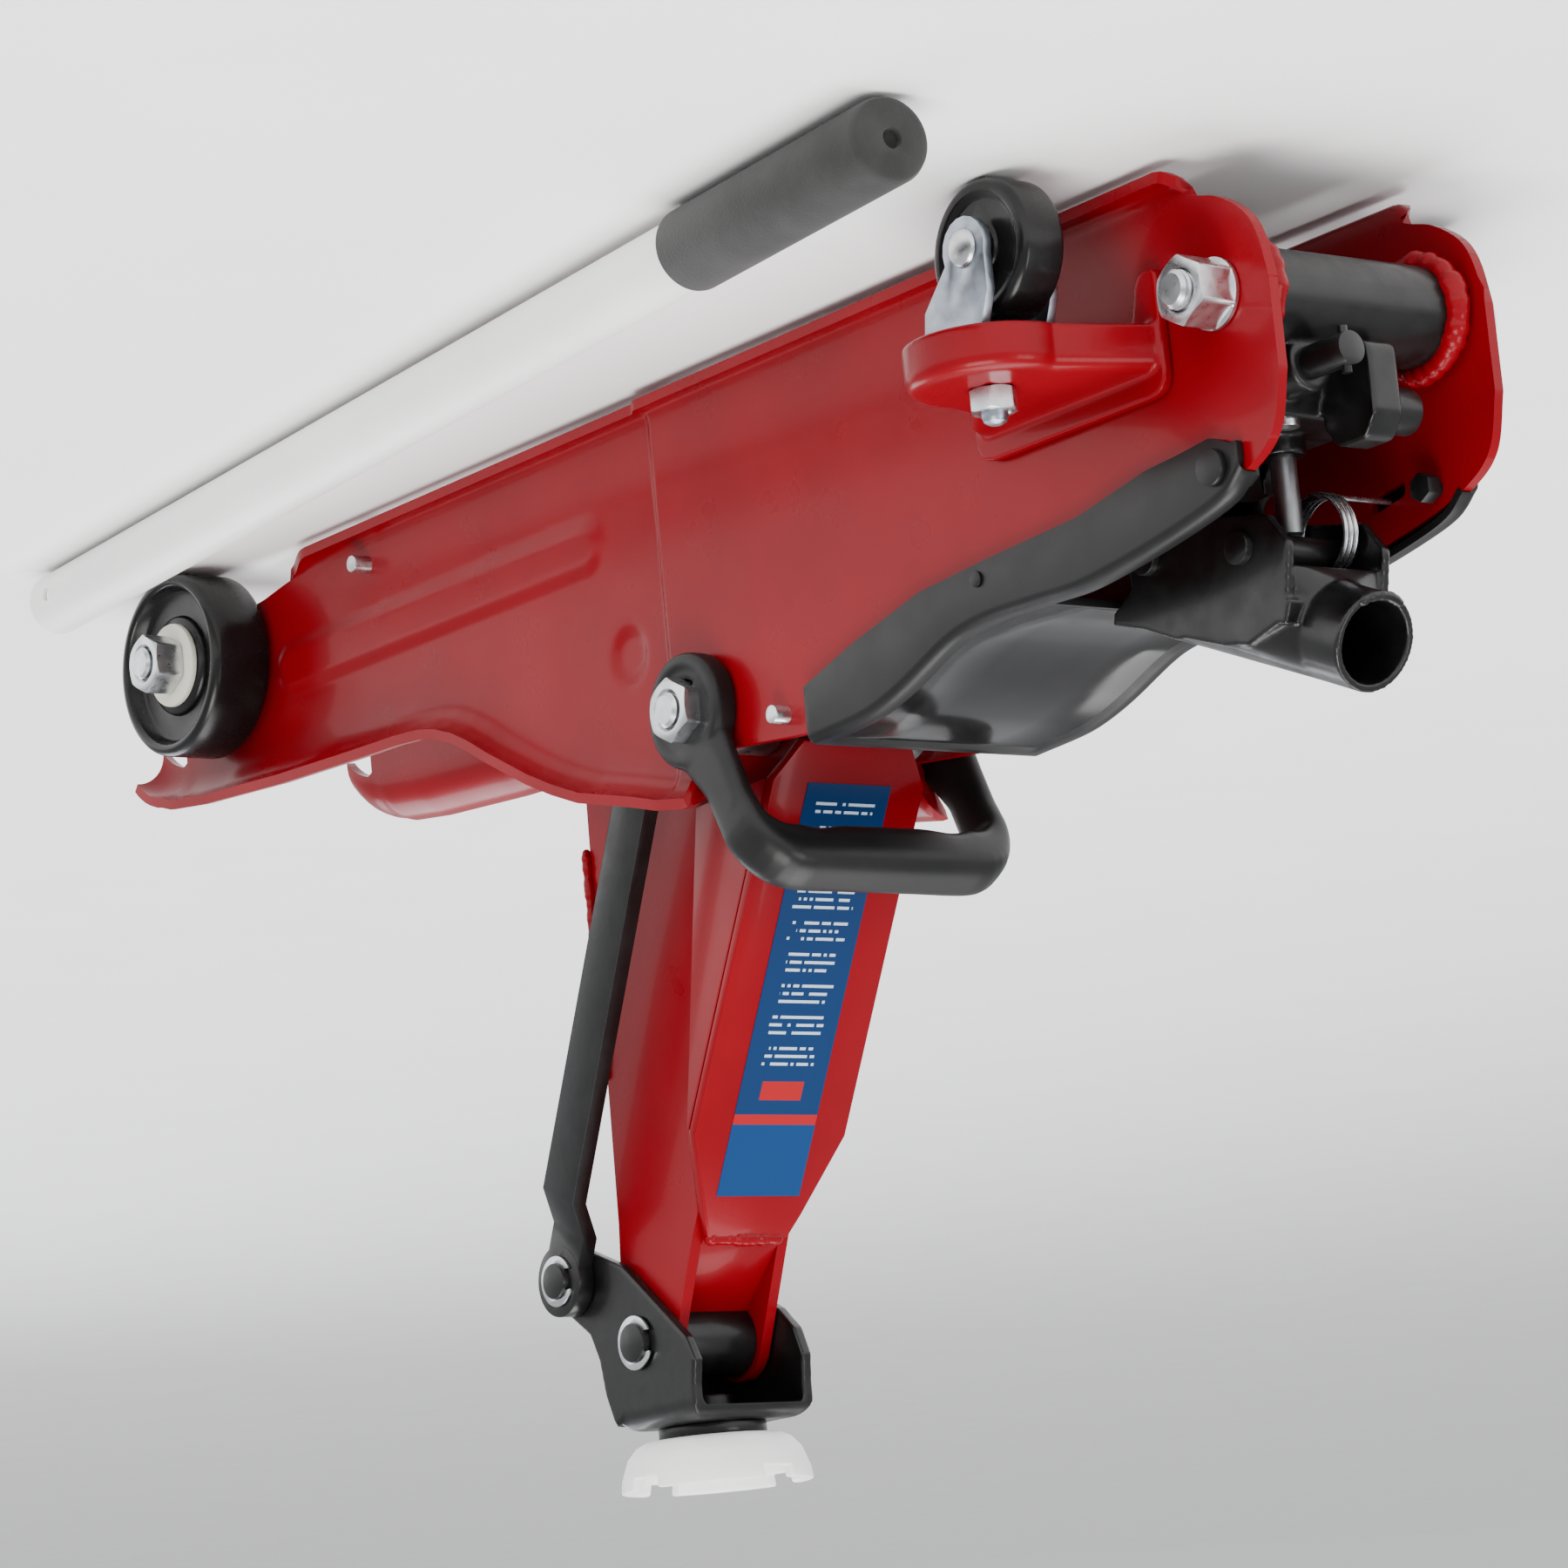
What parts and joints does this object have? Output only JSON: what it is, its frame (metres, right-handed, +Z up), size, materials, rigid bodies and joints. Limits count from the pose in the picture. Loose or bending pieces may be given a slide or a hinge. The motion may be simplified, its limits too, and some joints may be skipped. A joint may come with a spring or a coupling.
{
  "type": "trolley jack",
  "caption": "Low-entry hydraulic trolley jack with raised arm, level saddle, casters, pump socket and a separate handle bar.",
  "frame": {"origin": "on the floor, on the centre plane, straight below the main pivot", "axes": "+X forward to the saddle end, +Y the jack's left, +Z up"},
  "size_m": [0.62, 0.2883, 0.3518],
  "materials": {
    "red_paint": "glossy red powder coat",
    "black_paint": "satin black paint",
    "black_plastic": "moulded black polypropylene",
    "zinc": "zinc-plated steel",
    "plated_fork": "blue-passivated zinc plate on pressed steel",
    "washer": "pale nylon washer",
    "white_paint": "white powder coat",
    "wheel": "black nylon wheel",
    "ground_steel": "ground and hard-chromed steel",
    "spring_steel": "drawn spring wire",
    "label": "plain blue film",
    "foam": "closed-cell foam"
  },
  "bodies": {
    "chassis": {"side_plate_right": "red_paint", "side_plate_left": "red_paint", "cross_tube": "black_paint", "rear_bolts": "zinc", "pivot_shaft": "zinc", "pivot_nuts": "zinc", "pivot_spacers": "zinc", "front_axle": "zinc", "axle_nuts": "zinc", "axle_washers": "washer", "axle_spacer": "black_paint", "tie_rod_upper": "zinc", "tie_rod_lower": "zinc", "caster_bracket_right": "red_paint", "caster_bracket_left": "red_paint", "pump_block": "black_paint", "ram_cylinder": "black_paint", "gland": "black_paint", "valve_plug": "black_paint", "oil_plug": "zinc", "cover_bolts": "black_plastic", "fulcrum_pin": "black_paint", "cover": "black_plastic", "cover_rivets": "black_plastic", "link_pivot_pin": "zinc"},
    "arm": {"lift_arm": "red_paint", "arm_back_plate": "red_paint", "arm_tube": "black_paint", "crank_pin": "zinc", "arm_label": "label"},
    "bracket": {"saddle_bracket": "black_paint", "saddle_pin": "black_paint", "link_pin": "black_paint", "circlips": "zinc", "saddle_boss": "black_paint"},
    "saddle": {"saddle": "white_paint"},
    "link": {"link_bar": "black_paint"},
    "ram": {"ram_rod": "ground_steel", "ram_yoke": "black_paint"},
    "wheel_right": {"front_wheel_right": "wheel"},
    "wheel_left": {"front_wheel_left": "wheel"},
    "caster_right": {"caster_fork_right": "plated_fork", "caster_nut_right": "zinc", "caster_axle_right": "zinc"},
    "caster_left": {"caster_fork_left": "plated_fork", "caster_nut_left": "zinc", "caster_axle_left": "zinc"},
    "caster_roller_right": {"caster_wheel_right": "wheel"},
    "caster_roller_left": {"caster_wheel_left": "wheel"},
    "socket": {"handle_socket": "black_paint", "lever_roller": "zinc", "socket_spring": "spring_steel"},
    "piston": {"pump_piston": "ground_steel"},
    "valve": {"release_valve": "black_paint"},
    "carry": {"carry_handle": "black_plastic"},
    "handle_bar": {"handle_tube": "white_paint", "foam_grip": "foam"}
  },
  "joints": [
    {"name": "arm_lift", "type": "hinge", "parent": "chassis", "child": "arm", "pos_m": [0, 0, 0.111], "axis": [0, 1, 0], "range_deg": [0, 81]},
    {"name": "bracket_level", "type": "hinge", "parent": "arm", "child": "bracket", "pos_m": [0.094, 0, 0.303], "axis": [0, 1, 0], "range_deg": [-81, 0]},
    {"name": "link_swing", "type": "hinge", "parent": "chassis", "child": "link", "pos_m": [0.033, -0.035, 0.086], "axis": [0, 1, 0], "range_deg": [0, 81]},
    {"name": "ram_slide", "type": "slide", "parent": "chassis", "child": "ram", "axis": [1, 0, 0], "range_m": [-0.0692, 0.0005]},
    {"name": "saddle_turn", "type": "hinge", "parent": "bracket", "child": "saddle", "pos_m": [0.09, 0, 0.336], "axis": [0, 0, 1], "continuous": true},
    {"name": "wheel_right_spin", "type": "hinge", "parent": "chassis", "child": "wheel_right", "pos_m": [0.2845, -0.0564, 0.033], "axis": [0, 1, 0], "continuous": true},
    {"name": "wheel_left_spin", "type": "hinge", "parent": "chassis", "child": "wheel_left", "pos_m": [0.2845, 0.0564, 0.033], "axis": [0, 1, 0], "continuous": true},
    {"name": "caster_right_swivel", "type": "hinge", "parent": "chassis", "child": "caster_right", "pos_m": [-0.2036, -0.0834, 0.05], "axis": [0, 0, 1], "continuous": true},
    {"name": "caster_left_swivel", "type": "hinge", "parent": "chassis", "child": "caster_left", "pos_m": [-0.2036, 0.0834, 0.05], "axis": [0, 0, 1], "continuous": true},
    {"name": "caster_right_roll", "type": "hinge", "parent": "caster_right", "child": "caster_roller_right", "pos_m": [-0.2126, -0.0834, 0.0215], "axis": [0, 1, 0], "continuous": true},
    {"name": "caster_left_roll", "type": "hinge", "parent": "caster_left", "child": "caster_roller_left", "pos_m": [-0.2126, 0.0834, 0.0215], "axis": [0, 1, 0], "continuous": true},
    {"name": "socket_pump", "type": "hinge", "parent": "chassis", "child": "socket", "pos_m": [-0.193, 0, 0.105], "axis": [0, 1, 0], "range_deg": [-18, 0], "stiffness_Nm_per_rad": 2, "springref_deg": 22.92, "deforming": ["socket_spring"]},
    {"name": "piston_slide", "type": "slide", "parent": "chassis", "child": "piston", "axis": [0, 0, 1], "range_m": [-0.0135, 0.0005]},
    {"name": "valve_turn", "type": "hinge", "parent": "chassis", "child": "valve", "pos_m": [-0.264, -0.017, 0.064], "axis": [1, 0, 0], "range_deg": [0, 90]},
    {"name": "carry_swing", "type": "hinge", "parent": "chassis", "child": "carry", "pos_m": [0, 0, 0.111], "axis": [0, -1, 0], "range_deg": [0, 24]},
    {"name": "handle_bar_lift", "type": "slide", "parent": "chassis", "child": "handle_bar", "axis": [0, 0, 1], "range_m": [0, 0.3]}
  ],
  "couplings": [
    {"joint": "bracket_level", "follows": "arm_lift", "ratio": -1},
    {"joint": "link_swing", "follows": "arm_lift", "ratio": 1},
    {"joint": "ram_slide", "follows": "arm_lift", "m_per_rad": -0.0488},
    {"joint": "piston_slide", "follows": "socket_pump", "m_per_rad": 0.0413}
  ]
}
